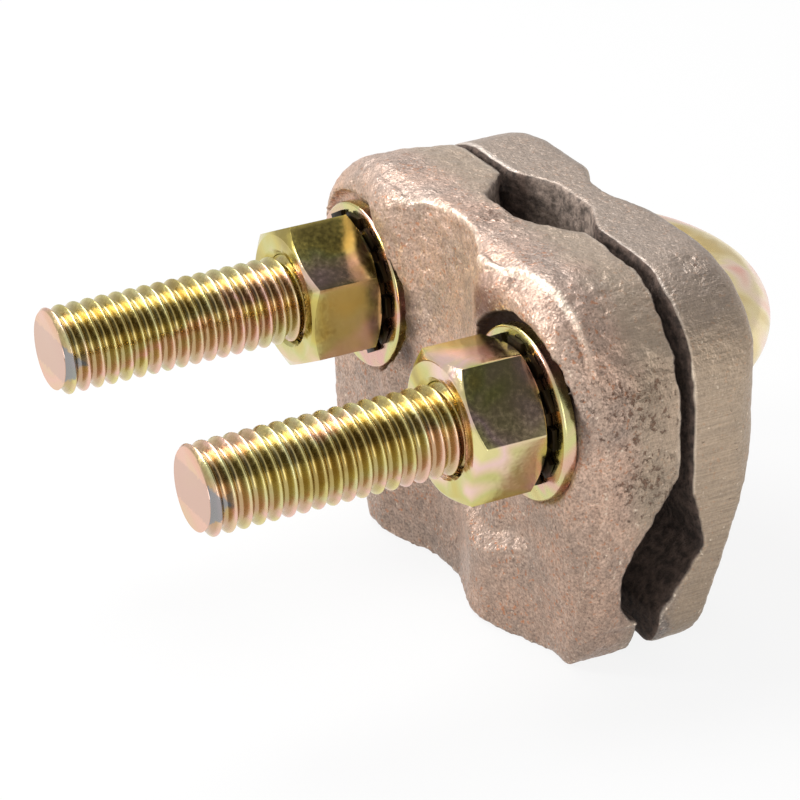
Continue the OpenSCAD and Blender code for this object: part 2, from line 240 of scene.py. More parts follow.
def speckledSkin(tree, look, noise, footShade):
    # broad drifts under clumps and sand grain, then rusty and dark specks, thicker on some drifts
    drift = addNode(tree, "MapRange", {1: 0.35, 2: 0.65}, {0: noise["blotch"]})
    colour = addNode(tree, "Mix", {**mixColour, 6: linearColour(look["skinGrey"]),
                                   7: linearColour(look["skinPink"])}, {0: drift})
    for kind in ("clump", "grain"):
        shade = addNode(tree, "MapRange", dict(enumerate(look[kind + "Shade"], 1)), {0: noise[kind]})
        colour = addNode(tree, "Mix", multiplyColour, {6: colour, 7: shade})
    # painted shade: darker towards the foot
    colour = addNode(tree, "Mix", multiplyColour, {6: colour, 7: footShade})
    crowding = addNode(tree, "MapRange", {1: 0.35, 2: 0.7, 3: -0.07, 4: 0.07}, {0: noise["crowd"]})
    for paint, operation, start, full in look["specks"]:
        crowded = addNode(tree, "Math", {"operation": operation}, {0: noise["speck"], 1: crowding})
        speck = addNode(tree, "MapRange", {1: start, 2: full, 4: look["speckAmount"]}, {0: crowded})
        colour = addNode(tree, "Mix", {**mixColour, 7: linearColour(look[paint])}, {0: speck, 6: colour})
    return colour


def linishedBand(tree, look, place, at, noise, footShade, gapEdge):
    # fine lines along Y; gives the band, ragged where it ends, the lines and their colour
    wander = addNode(tree, "MapRange", {3: -look["wander"], 4: look["wander"]}, {0: noise["ragged"]})
    bandPlace = addNode(tree, "Math", {"operation": "ADD"}, {0: at.outputs["Y"], 1: wander})
    start, full = (gapEdge - before for before in look["linish"])
    band = addNode(tree, "MapRange", {"interpolation_type": "SMOOTHSTEP", 1: start, 2: full}, {0: bandPlace})
    wide, long = perMetre(look["lineMm"]), perMetre(look["lineLengthMm"])
    lineScale = addNode(tree, "Mapping", {"Scale": (wide, long, wide)}, {"Vector": place})
    lines = addNode(tree, "TexNoise", {"Scale": 1.0, "Detail": 2.0}, {"Vector": lineScale})
    lineShade = addNode(tree, "MapRange", dict(enumerate(look["lineShade"], 1)), {0: lines})
    # the lines take the painted shade towards the foot too
    shade = addNode(tree, "Math", {"operation": "MULTIPLY"}, {0: lineShade, 1: footShade})
    colour = addNode(tree, "Mix", {**multiplyColour, 6: linearColour(look["linished"])}, {7: shade})
    return band, lines, colour


def rubbedEdges(tree, look, colour, at, noise, gapEdge, gapSide):
    # rubbed edges are paler, with bright metal in flecks, and the rim along the gap is pale too, as a painted
    # highlight
    wear = addNode(tree, "Attribute", {"attribute_name": "wear"}).outputs["Fac"]
    paler = addNode(tree, "MapRange", {1: 0.04, 2: 0.2, 4: look["paleAmount"]}, {0: wear})
    # painted highlight along the rim of the gap, above the toe
    byGap = addNode(tree, "MapRange", {1: gapEdge - 0.6 * mm * gapSide, 2: gapEdge - 0.2 * mm * gapSide,
                                       4: look["rim"]}, {0: at.outputs["Y"]})
    overToe = addNode(tree, "MapRange", {1: 15 * mm, 2: 18 * mm}, {0: at.outputs["Z"]})
    rimHighlight = addNode(tree, "Math", {"operation": "MULTIPLY"}, {0: byGap, 1: overToe})
    bright = addNode(tree, "Math", {"operation": "MAXIMUM"}, {0: paler, 1: rimHighlight})
    rubbed = addNode(tree, "MapRange", {1: 0.03, 2: 0.2, 3: -0.15, 4: 0.12}, {0: wear})
    fleckPlace = addNode(tree, "Math", {"operation": "ADD"}, {0: noise["fleck"], 1: rubbed})
    fleck = addNode(tree, "MapRange", {1: 0.52, 2: 0.66, 4: look["fleckAmount"]}, {0: fleckPlace})
    for share in (bright, fleck):
        colour = addNode(tree, "Mix", {**mixColour, 7: linearColour(look["fleck"])}, {0: share, 6: colour})
    return colour


def gapOxide(tree, look, at, facing, noise, gapEdge, gapSide):
    # dark oxide in the channels and on the parting face; gives where it lies, and its colour
    sideways = addNode(tree, "Math", {"operation": "ABSOLUTE"}, {0: at.outputs["X"]})
    slope = addNode(tree, "Math", {"operation": "ABSOLUTE"}, {0: facing.outputs["Z"]})
    upright = addNode(tree, "MapRange", {1: 0.75, 2: 0.5}, {0: slope})
    between = addNode(tree, "MapRange", {1: 15 * mm, 2: 14 * mm}, {0: sideways})
    turnedIn = addNode(tree, "MapRange", {1: -0.3 * gapSide, 2: 0.0}, {0: facing.outputs["Y"]})
    nearGap = addNode(tree, "MapRange", {1: gapEdge - 6 * mm * gapSide, 2: gapEdge - 5 * mm * gapSide},
                      {0: at.outputs["Y"]})
    channelWall = upright
    for mask in (between, turnedIn, nearGap):
        channelWall = addNode(tree, "Math", {"operation": "MULTIPLY"}, {0: channelWall, 1: mask})
    facesGap = addNode(tree, "MapRange", {1: 0.3 * gapSide, 2: 0.65 * gapSide}, {0: facing.outputs["Y"]})
    inGap = addNode(tree, "Math", {"operation": "MAXIMUM"}, {0: facesGap, 1: channelWall})

    # painted light: the oxide is paler towards the top of the upright channel, where more light falls in
    upward = addNode(tree, "MapRange", {1: 17 * mm, 2: 32 * mm}, {0: at.outputs["Z"]})
    inward = addNode(tree, "MapRange", {1: 13 * mm, 2: 9 * mm}, {0: sideways})
    paintedChannelLight = addNode(tree, "Math", {"operation": "MULTIPLY"}, {0: upward, 1: inward})
    channel = addNode(tree, "Mix", {**mixColour, 6: linearColour(look["oxide"]),
                                    7: linearColour(look["oxidePaintedLight"])}, {0: paintedChannelLight})
    deep = addNode(tree, "MapRange", {1: gapEdge - 0.6 * mm * gapSide, 2: gapEdge - 1.6 * mm * gapSide},
                   {0: at.outputs["Y"]})
    colour = addNode(tree, "Mix", {**mixColour, 6: linearColour(look["parting"])}, {0: deep, 7: channel})
    shade = addNode(tree, "MapRange", dict(enumerate(look["oxideShade"], 1)), {0: noise["clump"]})
    return inGap, addNode(tree, "Mix", multiplyColour, {6: colour, 7: shade})


def washerPocket(tree, look, at):
    # painted shade in the pockets above the washers, but not at the far side of the far one
    radius, aboveLeg = offLeg(tree, at)
    pocket = addNode(tree, "MapRange", {1: look["pocketRadius"] + 0.3 * mm, 2: look["pocketRadius"]}, {0: radius})
    atFront = addNode(tree, "MapRange", {1: 2.5 * mm, 2: 1.8 * mm}, {0: at.outputs["Y"]})
    overLeg = addNode(tree, "MapRange", {1: -3 * mm, 2: 4 * mm}, {0: aboveLeg})
    nearSide = addNode(tree, "MapRange", {1: -19 * mm, 2: -15 * mm}, {0: at.outputs["X"]})
    for mask in (atFront, overLeg, nearSide):
        pocket = addNode(tree, "Math", {"operation": "MULTIPLY"}, {0: pocket, 1: mask})
    return pocket


def castBronze(name, look, gapEdge, gapSide):
    # gapEdge is the parting face along Y, and gapSide is 1 where it looks along +Y
    material, tree = newMaterial(name)
    coords = addNode(tree, "TexCoord")
    place = coords.outputs["Object"]
    at = addNode(tree, "SeparateXYZ", {}, {0: place})
    facing = addNode(tree, "SeparateXYZ", {}, {0: coords.outputs["Normal"]})
    noise = {}
    for kind, (sizeMm, detail, roughness) in look["noise"].items():
        noise[kind] = addNode(tree, "TexNoise", {"Scale": perMetre(sizeMm), "Detail": detail,
                                                 "Roughness": roughness}, {"Vector": place})

    # skin, with painted shade making it darker towards the foot, with stains and the linished band over it
    footShade = addNode(tree, "MapRange", {1: 2 * mm, 2: 24 * mm, 3: look["foot"]}, {0: at.outputs["Z"]})
    colour = speckledSkin(tree, look, noise, footShade)
    # the second kind of spot is painted shadow beside the far washer
    for spots, paint in (("stained", "stain"), ("shadowBesideWasher", "pocket")):
        spot = patches(tree, place, look[spots], look["spotAmount"])
        colour = addNode(tree, "Mix", {**mixColour, 7: linearColour(look[paint])}, {0: spot, 6: colour})
    band, lines, lineColour = linishedBand(tree, look, place, at, noise, footShade, gapEdge)
    bandShare = addNode(tree, "Math", {"operation": "MULTIPLY", 1: look["bandAmount"]}, {0: band})
    colour = addNode(tree, "Mix", mixColour, {0: bandShare, 6: colour, 7: lineColour})

    # ragged pits, close together only in some areas, which are also darker and lumpy
    area = patches(tree, place, look["pitted"], 1.0)
    areaShade = addNode(tree, "MapRange", {3: 1.0, 4: look["areaShade"]}, {0: area})
    colour = addNode(tree, "Mix", multiplyColour, {6: colour, 7: areaShade})
    pitPlace = addNode(tree, "Math", {"operation": "MULTIPLY_ADD", 1: look["pitCrowd"]},
                       {0: area, 2: noise["pit"]})
    pit = addNode(tree, "MapRange", {1: 0.7, 2: 0.77, 4: look["pitAmount"]}, {0: pitPlace})
    colour = addNode(tree, "Mix", {**mixColour, 7: linearColour(look["pit"])}, {0: pit, 6: colour})
    upAndDown = addNode(tree, "Math", {"operation": "SUBTRACT", 1: 0.5}, {0: noise["ragged"]})
    lumps = addNode(tree, "Math", {"operation": "MULTIPLY"}, {0: area, 1: upAndDown})

    # rubbed edges and a painted highlight on the gap's rim, a cooler, darker tint on what faces up, dark oxide in the
    # gap, and painted shade in the washer pockets
    colour = rubbedEdges(tree, look, colour, at, noise, gapEdge, gapSide)
    level = addNode(tree, "MapRange", {1: 0.4, 2: 0.9}, {0: facing.outputs["Z"]})
    # what faces up is tinted cooler and a little darker
    colour = addNode(tree, "Mix", {**multiplyColour, 7: linearColour(look["upwardTint"])}, {0: level, 6: colour})
    inGap, oxide = gapOxide(tree, look, at, facing, noise, gapEdge, gapSide)
    colour = addNode(tree, "Mix", mixColour, {0: inGap, 6: colour, 7: oxide})
    # painted shade in the washer pockets
    pocket = washerPocket(tree, look, at)
    colour = addNode(tree, "Mix", {**mixColour, 7: linearColour(look["pocket"])}, {0: pocket, 6: colour})

    dull = addNode(tree, "Math", {"operation": "MAXIMUM"}, {0: inGap, 1: pocket})
    skinRough = addNode(tree, "MapRange", {1: 0.3, 2: 0.7, 3: look["roughness"] + 0.14,
                                           4: look["roughness"] - 0.12}, {0: noise["grain"]})
    dullRough = addNode(tree, "Math", {"operation": "MULTIPLY", 1: look["dullRoughness"]}, {0: dull})
    rough = addNode(tree, "Math", {"operation": "MAXIMUM"}, {0: skinRough, 1: dullRough})
    metal = addNode(tree, "MapRange", {3: look["metal"], 4: look["dullMetal"]}, {0: dull})
    lineHeight = addNode(tree, "Math", {"operation": "MULTIPLY"}, {0: lines, 1: band})
    heights = dict(noise, line=lineHeight, lump=lumps, pit=pit)
    under = {}
    for kind, (strength, heightMm) in look["bumps"].items():
        bump = addNode(tree, "Bump", {"Strength": strength, "Distance": heightMm * mm, "invert": kind == "pit"},
                       {"Height": heights[kind], **under})
        under = {"Normal": bump}
    shader = addNode(tree, "BsdfPrincipled", {},
                     {"Base Color": colour, "Metallic": metal, "Roughness": rough, "Normal": bump})
    addNode(tree, "OutputMaterial", {}, {"Surface": shader})
    return material


# Zinc plate with yellow chromate, on rolled and forged steel: a bright mirror whose film drifts from gold to pink and
# pale green, shifted with height as a painted reflection, brown where oil and painted shade sit in the thread's
# roots, grey where the first thread is rubbed.
chromateLook = {
    "film": [(0.3, "#b9a566"), (0.39, "#d8ca86"), (0.46, "#cfcb8c"), (0.53, "#dcb79c"),
             (0.6, "#dfaea2"), (0.7, "#d9c882")],
    "filmMm": 8, "mottleMm": 0.45, "roughness": 0.2,
    # how far the film of a piece is along its drift, and how much further it is for each metre upwards, a painted
    # reflection that tints upper and lower sides apart
    "shift": 0.0, "paintedReflectionRise": 0.0,
}
legLook = dict(
    chromateLook, roughness=0.22, paintedReflectionRise=-22.0,
    film=[(0.3, "#bda96a"), (0.39, "#d6c884"), (0.46, "#d6d09c"), (0.53, "#e2c09e"), (0.6, "#eec0b2"),
          (0.7, "#e0d28e")],
    bend=[(0.34, "#dfc486"), (0.41, "#f3dfae"), (0.46, "#f9dcc6"), (0.54, "#f6bdac")],
    rootOilAndShade="#a0874f", bareZinc="#8f9398", tip="#e6b69c",
    rootOilAndShadeAmount=0.6, bareAmount=0.85, tipAmount=0.72, bendAmount=0.9, rootOilAndShadeRadius=4.25 * mm, cleanRadius=4.6 * mm,
    # how far from the tips the thread is rubbed, and how much further at least and at most
    rubbed=1.1 * mm, rubbedMore=(0.6 * mm, 1.8 * mm))
nutLook = dict(
    chromateLook, roughness=0.16,
    film=[(0.3, "#b4a25c"), (0.4, "#cfbe6a"), (0.48, "#cec882"), (0.55, "#e4caa4"), (0.62, "#f0cdc2"),
          (0.72, "#e4d898")])
# lock washers: a near-black film, painted shade for where they sit between nut and washer
lockShadeLook = dict(
    chromateLook, roughness=0.4,
    film=[(0.3, "#15110d"), (0.45, "#241d15"), (0.55, "#2d2519"), (0.7, "#1d1710")])


def legMarks(tree, look, colour, at, mottle, drift, radius, aboveLeg, pastFace):
    # oil in the thread roots, darkening them as painted shade too, all the way to the plain rod
    inRoot = addNode(tree, "MapRange", {1: look["cleanRadius"], 2: look["rootOilAndShadeRadius"], 4: look["rootOilAndShadeAmount"]},
                     {0: radius})
    beforeBend = addNode(tree, "MapRange", {1: 4 * mm, 2: 2 * mm}, {0: at.outputs["Y"]})
    onThread = addNode(tree, "Math", {"operation": "MULTIPLY"}, {0: pastFace, 1: beforeBend})
    oilyShadedRoot = addNode(tree, "Math", {"operation": "MULTIPLY"}, {0: inRoot, 1: onThread})

    # rubbed only at half height, where the legs lie against each other in the box
    offMiddle = addNode(tree, "Math", {"operation": "ABSOLUTE"}, {0: aboveLeg})
    edge = addNode(tree, "MapRange", dict(enumerate(look["rubbedMore"], 3)), {0: mottle})
    pushed = addNode(tree, "Math", {"operation": "SUBTRACT"}, {0: edge, 1: offMiddle})
    reach = addNode(tree, "Math", {"operation": "ADD", 1: tipY + look["rubbed"]}, {0: pushed})
    inReach = addNode(tree, "Math", {"operation": "SUBTRACT"}, {0: reach, 1: at.outputs["Y"]})
    bare = addNode(tree, "MapRange", {1: 0.0, 2: 0.3 * mm, 4: look["bareAmount"]}, {0: inReach})

    # sawn faces of the tips, and the film of the bend
    onFace = addNode(tree, "MapRange", {3: look["tipAmount"], 4: 0.0}, {0: pastFace})
    for share, paint in ((oilyShadedRoot, "rootOilAndShade"), (bare, "bareZinc"), (onFace, "tip")):
        colour = addNode(tree, "Mix", {**mixColour, 7: linearColour(look[paint])}, {0: share, 6: colour})
    onBend = addNode(tree, "MapRange", {1: 14 * mm, 2: 24 * mm, 4: look["bendAmount"]}, {0: at.outputs["Y"]})
    bendFilm = addNode(tree, "ValToRGB", {}, {"Fac": drift})
    setStops(bendFilm, look["bend"])
    return addNode(tree, "Mix", mixColour, {0: onBend, 6: colour, 7: bendFilm})


def yellowChromate(name, look):
    material, tree = newMaterial(name)
    place = addNode(tree, "TexCoord").outputs["Object"]
    at = addNode(tree, "SeparateXYZ", {}, {0: place})
    radius, aboveLeg = offLeg(tree, at)
    film = addNode(tree, "TexNoise", {"Scale": perMetre(look["filmMm"]), "Detail": 2.0, "Distortion": 0.4},
                   {"Vector": place})
    shifted = addNode(tree, "Math", {"operation": "ADD", 1: look["shift"]}, {0: film})
    # painted reflection: the film shifts with height above the leg axis
    drift = addNode(tree, "Math", {"operation": "MULTIPLY_ADD", 1: look["paintedReflectionRise"]}, {0: aboveLeg, 2: shifted})
    colour = addNode(tree, "ValToRGB", {}, {"Fac": drift})
    setStops(colour, look["film"])
    mottle = addNode(tree, "TexNoise", {"Scale": perMetre(look["mottleMm"]), "Detail": 3.0}, {"Vector": place})
    if "tip" in look:
        pastFace = addNode(tree, "MapRange", {1: tipY + 0.02 * mm, 2: tipY + 0.1 * mm}, {0: at.outputs["Y"]})
        colour = legMarks(tree, look, colour, at, mottle, drift, radius, aboveLeg, pastFace)
        # the sawn faces are smooth
        mottle = addNode(tree, "Math", {"operation": "MULTIPLY"}, {0: mottle, 1: pastFace})
    rough = addNode(tree, "MapRange", {1: 0.3, 2: 0.7, 3: look["roughness"] - 0.06, 4: look["roughness"] + 0.1},
                    {0: mottle})
    bump = addNode(tree, "Bump", {"Strength": 0.12, "Distance": 0.05 * mm}, {"Height": mottle})
    shader = addNode(tree, "BsdfPrincipled", {"Metallic": 1.0},
                     {"Base Color": colour, "Roughness": rough, "Normal": bump})
    addNode(tree, "OutputMaterial", {}, {"Surface": shader})
    return material


bronzeFront = castBronze("sandCastBronzeFront", bronzeLook, gapFront, 1)
bronzeRear = castBronze("sandCastBronzeRear", rearLook, gapRear, -1)
chromate = yellowChromate("yellowChromateStamped", chromateLook)
chromateLegs = yellowChromate("yellowChromateRolled", legLook)
chromateNuts = [yellowChromate("yellowChromateForgedOlive", dict(nutLook, shift=-0.1)),
                yellowChromate("yellowChromateForgedRosy", dict(nutLook, shift=0.05, paintedReflectionRise=-6.0))]
chromateLockShade = yellowChromate("yellowChromateOilySpringPaintedShade", lockShadeLook)
print("materials done")


# Castings: the solid is remeshed fine, its corners worn round and its skin roughened

bothCastings = {
    "voxel": 0.34 * mm, "smoothing": 0.5, "cloudDepth": 3, "crispWithin": 2.5 * mm,
    # share of the rounding that edges get at the gap, and in the middle of a place that stayed sharp
    "gapRounding": 0.35, "crispRounding": 0.1,
    # the gap closes over this width towards its far side, and between these heights
    "pinchWidth": 12 * mm, "pinchHeights": (25 * mm, 35 * mm),
}
frontCasting = {
    **bothCastings, "node": "front_clamp", "body": "front_clamp", "rounding": 6, "parting": gapFront,
    "lumpMm": 7, "lumpHeight": 0.4 * mm, "sandMm": 1.3, "sandHeight": 0.4 * mm,
    # places whose edges stayed sharp, and how far round them, in millimetres
    "crispAt": [((9.5, -1.5, 10.5), 6), ((9.3, -1.8, 5), 6)],
    # places that were rubbed quite round
    "wornAt": [((-12, 0.6, 39.5), 6), ((6, 0.8, 39.8), 2.5)], "wornRounding": 16,
    "chipMm": 3.2, "chipDepth": -1.6 * mm, "chipWithin": 1.6 * mm, "pinch": 0.4 * mm,
    # trough between the bosses: its radius and length, the middle of its axis and how far it leans back
    "trough": (15 * mm, 40 * mm, (0, -13.76 * mm, 27.6 * mm), 4.8),
    # crest of the worn ridge round each boss, in millimetres, and the flank that falls off in front of it
    "ridge": [(0, 2.35, 40.1), (4.8, 1.4, 40), (8.4, -0.2, 39.4), (9.6, -0.5, 39.2), (12.1, 0.3, 39.7),
              (14.4, 1.3, 39.8), (17.1, 1.7, 39.9), (19.3, 2.2, 39.6), (21.3, 2.4, 38.7), (23.3, 2.6, 37.5),
              (26.3, 2.6, 34.1), (27.8, 2.6, 30.5), (28.2, 3.2, 26.2), (28.2, 3.5, 21), (28.1, 3, 19.6),
              (27.3, 1.5, 12.5), (26.2, 0.9, 7)],
    "ridgeWithin": 0.85 * mm, "ridgeWear": 0.2, "flankFrom": 0.25 * mm, "flankTo": 3.5 * mm, "flankDepth": 0.5 * mm,
    # nothing behind this is worn; where the ridge turns crisp along X; the heights between which it is rubbed
    # more and more, and the least of that
    "ridgeBehind": 5 * mm, "ridgeCrisp": (-10 * mm, -7.5 * mm), "rubHeights": (31.2 * mm, 39.2 * mm), "leastRub": 0.3,
}
rearCasting = {
    **bothCastings, "node": "rear_saddle", "body": "rear_saddle", "rounding": 9, "parting": gapRear,
    "lumpMm": 8, "lumpHeight": 0.3 * mm, "sandMm": 1.6, "sandHeight": 0.16 * mm, "crispAt": [],
    "chipMm": 2.6, "chipDepth": 0.7 * mm, "chipWithin": 1.2 * mm, "pinch": -0.4 * mm,
}


def offChain(chain, place):
    # distance from a chain of points, and how far behind its nearest point a place lies
    best, behind = 1.0, 0.0
    for start, end in zip(chain, chain[1:]):
        along = end - start
        nearest = start + along * fade((place - start).dot(along), 0.0, along.length_squared)
        if (nearest - place).length < best:
            best, behind = (nearest - place).length, place.y - nearest.y
    return best, behind


def cutTrough(obj, radius, length, middle, lean):
    bpy.ops.object.select_all(action="DESELECT")
    bpy.ops.mesh.primitive_cylinder_add(vertices=128, radius=radius, depth=length, location=middle,
                                        rotation=(-math.radians(lean), 0, 0))
    cut(obj, bpy.context.object, "DIFFERENCE")


def wearRidge(obj, spec, wear):
    # the ridge is rubbed bright, and the flank in front of it falls off sharply
    flank = obj.vertex_groups.new(name="flank")
    chain = [Vector(point) * mm for point in spec["ridge"]]
    for vertex in obj.data.vertices:
        if vertex.co.y > spec["ridgeBehind"]:
            continue
        away, behind = offChain(chain, Vector((abs(vertex.co.x), vertex.co.y, vertex.co.z)))
        # the far boss is worn quite round, and the ridge is rubbed most at the top
        crisp = fade(vertex.co.x, *spec["ridgeCrisp"])
        rubbed = crisp * spec["ridgeWear"] * max(spec["leastRub"], fade(vertex.co.z, *spec["rubHeights"]))
        wear.data[vertex.index].value += fade(away, spec["ridgeWithin"], 0.0) * rubbed
        if behind < 0:
            weight = crisp * fade(-behind, 0.0, spec["flankFrom"]) * fade(away, spec["flankTo"], 0.0)
            flank.add([vertex.index], weight, "REPLACE")
    applyModifier(obj, "DISPLACE", {"strength": -spec["flankDepth"], "mid_level": 0.0, "vertex_group": "flank"})


def wearRound(obj, spec):
    worn = obj.vertex_groups.new(name="worn")
    for vertex in obj.data.vertices:
        weight = max(fade((vertex.co - Vector(centre) * mm).length, spread * mm, 0.0)
                     for centre, spread in spec["wornAt"])
        worn.add([vertex.index], weight, "REPLACE")
    applyModifier(obj, "SMOOTH", {"factor": spec["smoothing"], "iterations": spec["wornRounding"],
                                  "vertex_group": "worn"})


def makeCasting(name, spec, material):
    obj = copyNode(spec["node"], name)
    if "trough" in spec:
        cutTrough(obj, *spec["trough"])
    applyModifier(obj, "REMESH", {"mode": "VOXEL", "voxel_size": spec["voxel"], "use_smooth_shade": True})

    # edges at the gap, and those that stayed sharp, are rounded less than the others
    soft = obj.vertex_groups.new(name="soft")
    for vertex in obj.data.vertices:
        weight = min(1.0, spec["gapRounding"] + abs(vertex.co.y - spec["parting"]) / spec["crispWithin"])
        for centre, spread in spec["crispAt"]:
            weight *= min(1.0, spec["crispRounding"] + (vertex.co - Vector(centre) * mm).length / mm / spread)
        soft.add([vertex.index], weight, "REPLACE")
    before = [vertex.co.copy() for vertex in obj.data.vertices]
    applyModifier(obj, "SMOOTH", {"factor": spec["smoothing"], "iterations": spec["rounding"],
                                  "vertex_group": "soft"})

    # how far an edge was worn back, in millimetres; hollows come out below 0
    wear = obj.data.attributes.new("wear", "FLOAT", "POINT")
    for vertex, old in zip(obj.data.vertices, before):
        wear.data[vertex.index].value = (old - vertex.co).dot(vertex.normal) / mm

    if "ridge" in spec:
        wearRidge(obj, spec, wear)
        wearRound(obj, spec)

    # lumps and sand all over, and chipped edges along the parting face
    chip = obj.vertex_groups.new(name="chip")
    pinch = obj.vertex_groups.new(name="pinch")
    for vertex in obj.data.vertices:
        weight = fade(abs(vertex.co.y - spec["parting"]), spec["chipWithin"], 0.0)
        chip.add([vertex.index], weight, "REPLACE")
        # the gap closes a little towards its far top corner
        weight *= fade(-vertex.co.x, 0.0, spec["pinchWidth"]) * fade(vertex.co.z, *spec["pinchHeights"])
        pinch.add([vertex.index], weight, "REPLACE")
    applyModifier(obj, "DISPLACE", {"strength": spec["pinch"], "mid_level": 0.0, "vertex_group": "pinch",
                                    "direction": "Y"})
    for kind, size, height, group, direction in (
            ("lump", spec["lumpMm"], spec["lumpHeight"], "soft", "NORMAL"),
            ("sand", spec["sandMm"], spec["sandHeight"], "soft", "NORMAL"),
            ("chip", spec["chipMm"], spec["chipDepth"], "chip", "Y")):
        clouds = bpy.data.textures.new(name + kind, "CLOUDS")
        clouds.noise_scale = size * mm
        clouds.noise_depth = spec["cloudDepth"]
        applyModifier(obj, "DISPLACE", {"texture": clouds, "texture_coords": "LOCAL", "strength": height,
                                        "mid_level": 0.5, "vertex_group": group, "direction": direction})
    obj.vertex_groups.clear()
    low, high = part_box(spec["node"])
    for vertex in obj.data.vertices:
        # nothing stands out past the solid's own box
        vertex.co = [min(max(c, l), h) for c, l, h in zip(vertex.co, low, high)]
    handOver(obj, material, spec["body"], spec["node"])
    print(name, len(obj.data.polygons), "faces")


makeCasting("frontCasting", frontCasting, bronzeFront)
makeCasting("rearCasting", rearCasting, bronzeRear)


# U-bolt: rolled threads turned by a screw, chamfered tips, and a bend spun round the rod

uBolt = {
    "threadEnd": 1.5 * mm, "runOut": 1.2 * mm, "bendY": 13.9 * mm, "rod": 4.65 * mm, "root": 3.85 * mm,
    "pitch": 1.5875 * mm, "tipRadius": 4.35 * mm, "tipSlope": 0.9, "roundSteps": 48, "bendSteps": 51,
    "smoothBelow": 42,
    # share of the pitch, share of the thread's height
    "thread": [(0, 0), (0.1, 0.01), (0.16, 0.07), (0.2, 0.2), (0.39, 0.82), (0.42, 0.91), (0.45, 0.98), (0.5, 1),
               (0.55, 0.98), (0.58, 0.91), (0.61, 0.82), (0.8, 0.2), (0.84, 0.07), (0.9, 0.01), (1, 0)],
    # turns that are cut off again before the tip and past the thread's end
    "spareTurns": (2, 1),
}


def bisectAt(obj, y, keepBehind, fill):
    # cuts square to the legs and keeps what is behind the cut, or before it
    pickOnly(obj)
    bpy.ops.object.mode_set(mode="EDIT")
    bpy.ops.mesh.select_all(action="SELECT")
    bpy.ops.mesh.bisect(plane_co=(0, y, 0), plane_no=(0, 1, 0), threshold=weld, use_fill=fill,
                        clear_inner=keepBehind, clear_outer=not keepBehind)
    bpy.ops.object.mode_set(mode="OBJECT")


def makeLeg(name, side, spec):
    height = spec["rod"] - spec["root"]
    obj = lineObject(name, [(spec["root"] + rise * height, along * spec["pitch"], 0)
                            for along, rise in spec["thread"]])
    turns = math.ceil((spec["threadEnd"] - tipY) / spec["pitch"]) + sum(spec["spareTurns"])
    applyModifier(obj, "SCREW", {"axis": "Y", "angle": 2 * math.pi, "screw_offset": spec["pitch"],
                                 "iterations": turns, "steps": spec["roundSteps"],
                                 "render_steps": spec["roundSteps"], "use_merge_vertices": True,
                                 "merge_threshold": weld})
    obj.data.transform(Matrix.Translation((0, tipY - spec["spareTurns"][0] * spec["pitch"], 0)))
    outwards(obj)
    bisectAt(obj, tipY, True, True)
    bisectAt(obj, spec["threadEnd"] - spec["runOut"], False, False)
    for vertex in obj.data.vertices:
        # chamfered start of the thread
        radius = math.hypot(vertex.co.x, vertex.co.z)
        limit = spec["tipRadius"] + (vertex.co.y - tipY) * spec["tipSlope"]
        if radius > limit:
            vertex.co.x *= limit / radius
            vertex.co.z *= limit / radius
    outwards(obj)
    obj.data.transform(Matrix.Translation((side * legX, 0, legZ)))
    return obj


def makeUBolt(spec):
    legs = [makeLeg("leg", side, spec) for side in (-1, 1)]
    bpy.ops.object.select_all(action="DESELECT")
    bpy.ops.mesh.primitive_circle_add(vertices=spec["roundSteps"], radius=spec["rod"],
                                      location=(legX, spec["bendY"], legZ), rotation=(math.pi / 2, 0, 0))
    rod = bpy.context.object
    rod.name = "uBolt"
    bpy.ops.object.transform_apply(location=True, rotation=True, scale=True)
    bpy.ops.object.mode_set(mode="EDIT")
    bpy.ops.mesh.select_all(action="SELECT")
    bpy.ops.mesh.spin(steps=spec["bendSteps"], angle=-math.pi, center=(0, spec["bendY"], legZ), axis=(0, 0, 1))
    bpy.ops.mesh.select_all(action="SELECT")
    bpy.ops.mesh.remove_doubles(threshold=weld)

    # both ends run straight forwards to where the threads start
    bpy.ops.mesh.select_all(action="DESELECT")
    bpy.ops.mesh.select_mode(type="EDGE")
    bpy.ops.mesh.select_non_manifold(extend=False)
    bpy.ops.mesh.extrude_edges_move(TRANSFORM_OT_translate={"value": (0, spec["threadEnd"] - spec["bendY"], 0)})
    bpy.ops.object.mode_set(mode="OBJECT")
    for obj in legs + [rod]:
        obj.select_set(True)
    bpy.context.view_layer.objects.active = rod
    bpy.ops.object.join()

    # each thread runs out into the plain rod
    for side in (-1, 1):
        pickOnly(rod)
        bpy.ops.object.mode_set(mode="EDIT")
        bpy.ops.mesh.select_mode(type="EDGE")
        bpy.ops.mesh.select_all(action="DESELECT")
        bpy.ops.mesh.select_non_manifold(extend=False)
        bpy.ops.object.mode_set(mode="OBJECT")
        points = rod.data.vertices
        for edge in rod.data.edges:
            edge.select = edge.select and points[edge.vertices[0]].co.x * side > 0
        for vertex in points:
            vertex.select = vertex.select and vertex.co.x * side > 0
        bpy.ops.object.mode_set(mode="EDIT")
        bpy.ops.mesh.bridge_edge_loops()
        bpy.ops.object.mode_set(mode="OBJECT")
    outwards(rod)
    bpy.ops.object.shade_smooth_by_angle(angle=math.radians(spec["smoothBelow"]))
    handOver(rod, chromateLegs, "u_bolt", "u_bolt")
    print("uBolt", len(rod.data.polygons), "faces")


makeUBolt(uBolt)


# Nuts: a hexagon with turned chamfers and a countersunk bore, its edges broken

